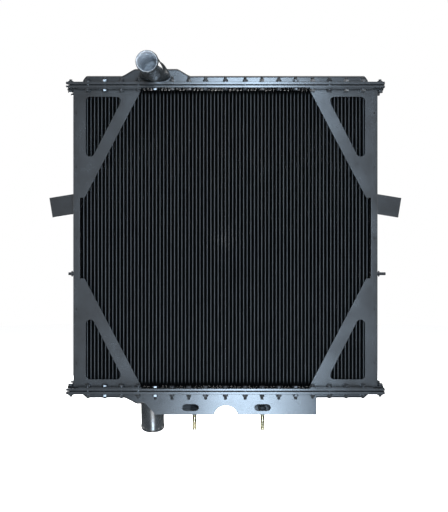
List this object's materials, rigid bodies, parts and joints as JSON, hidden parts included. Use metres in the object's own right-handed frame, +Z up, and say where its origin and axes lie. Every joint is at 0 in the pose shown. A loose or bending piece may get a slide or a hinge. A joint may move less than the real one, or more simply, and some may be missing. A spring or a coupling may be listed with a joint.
{
  "type": "vehicle radiator",
  "caption": "Upright truck radiator: flat-tube core, bolt-on top and bottom tanks with hose necks, side columns, corner gussets and a lower mount channel with studs.",
  "frame": {"origin": "middle of the underside of the lower mount bracket, in the middle of the core's width and depth", "axes": "+Z up along the tubes, +X to the right seen from the front, -Y out of the front of the core, where the inlet neck points"},
  "size_m": [1.1026, 0.2773, 1.1351],
  "materials": {
    "black_paint": "satin black paint over pressed and cast metal",
    "core": "thin black core paint on brazed tubes and fins",
    "gasket": "matt black rubber and cork",
    "bolt_steel": "steel fasteners, partly over-painted black",
    "yellow_zinc": "yellow zinc plate on rolled threads",
    "brass": "machined brass"
  },
  "bodies": {
    "root": {"radiator_core": "core", "top_header": "black_paint", "bottom_header": "black_paint", "top_gasket": "gasket", "bottom_gasket": "gasket", "top_tank": "black_paint", "bottom_tank": "black_paint", "inlet_neck": "black_paint", "outlet_neck": "black_paint", "lower_mount_bracket": "black_paint", "left_mount_stud": "yellow_zinc", "right_mount_stud": "yellow_zinc", "left_stud_washer": "yellow_zinc", "right_stud_washer": "yellow_zinc", "drain_cock_body": "brass", "left_side_column": "black_paint", "left_side_bracket": "black_paint", "left_side_pin": "black_paint", "left_bracket_lower_bolt": "black_paint", "left_bracket_lower_nut": "black_paint", "left_bracket_upper_bolt": "black_paint", "left_bracket_upper_nut": "black_paint", "top_left_foot": "black_paint", "top_left_gusset": "black_paint", "top_left_front_bolt": "bolt_steel", "top_left_front_nut": "bolt_steel", "top_left_rear_bolt": "bolt_steel", "top_left_rear_nut": "bolt_steel", "bottom_left_foot": "black_paint", "bottom_left_gusset": "black_paint", "bottom_left_front_bolt": "bolt_steel", "bottom_left_front_nut": "bolt_steel", "bottom_left_rear_bolt": "bolt_steel", "bottom_left_rear_nut": "bolt_steel", "right_side_column": "black_paint", "right_side_bracket": "black_paint", "right_side_pin": "black_paint", "right_bracket_lower_bolt": "black_paint", "right_bracket_lower_nut": "black_paint", "right_bracket_upper_bolt": "black_paint", "right_bracket_upper_nut": "black_paint", "top_right_foot": "black_paint", "top_right_gusset": "black_paint", "top_right_front_bolt": "bolt_steel", "top_right_front_nut": "bolt_steel", "top_right_rear_bolt": "bolt_steel", "top_right_rear_nut": "bolt_steel", "bottom_right_foot": "black_paint", "bottom_right_gusset": "black_paint", "bottom_right_front_bolt": "bolt_steel", "bottom_right_front_nut": "bolt_steel", "bottom_right_rear_bolt": "bolt_steel", "bottom_right_rear_nut": "bolt_steel"},
    "drain_key": {"drain_cock_key": "brass"}
  },
  "joints": [
    {"name": "drain_key_turn", "type": "hinge", "parent": "root", "child": "drain_key", "pos_m": [-0.2895, 0.0653, 0.051], "axis": [0, 1, 0], "range_deg": [0, 90]}
  ]
}
